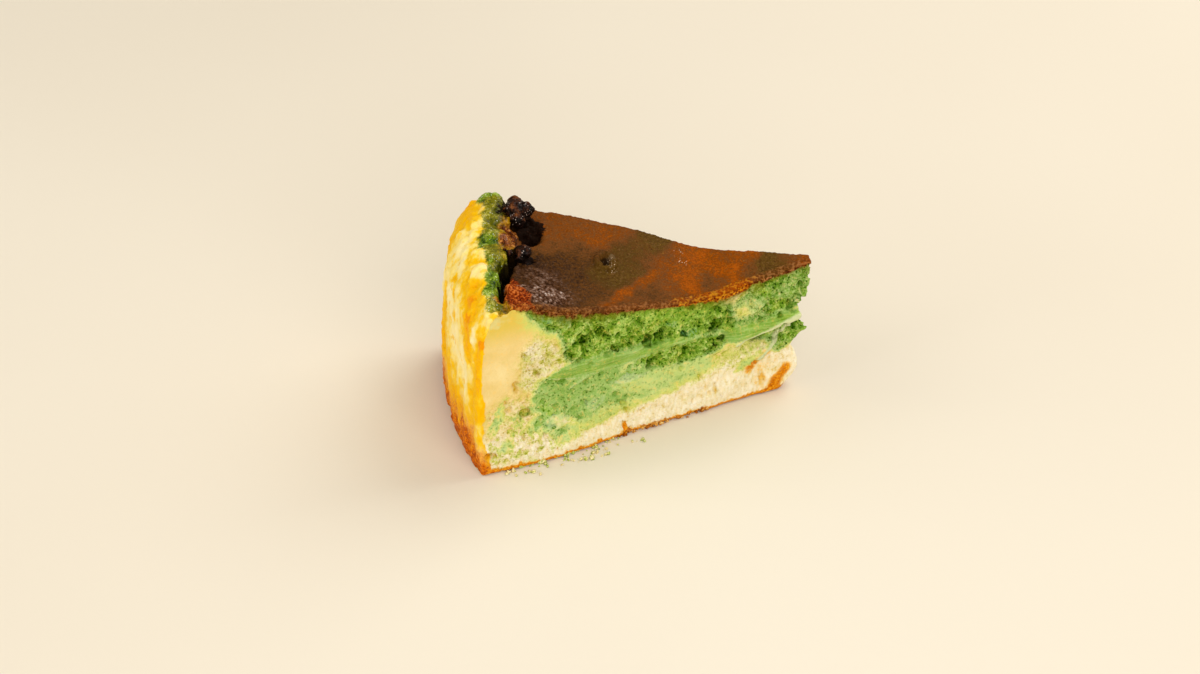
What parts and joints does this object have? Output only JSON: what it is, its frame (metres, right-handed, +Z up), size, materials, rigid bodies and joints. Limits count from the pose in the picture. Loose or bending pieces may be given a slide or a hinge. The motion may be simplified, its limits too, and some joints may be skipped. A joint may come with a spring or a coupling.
{
  "type": "basque burnt cheesecake slice",
  "caption": "Wedge of burnt-top cheesecake with a browned outer side, a knobbly raised rim and marbled green and cream crumb, lying flat on its base.",
  "frame": {"origin": "middle of the floor of the slice's box, on the surface that it rests on", "axes": "+Z up, +X from the browned outer side towards the tip, the pictured cut face towards -Y"},
  "size_m": [0.1208, 0.0754, 0.0669],
  "materials": {
    "cheesecake": "moist baked crumb with a burnt top"
  },
  "bodies": {
    "root": {"cheesecake_slice": "cheesecake"}
  },
  "joints": []
}
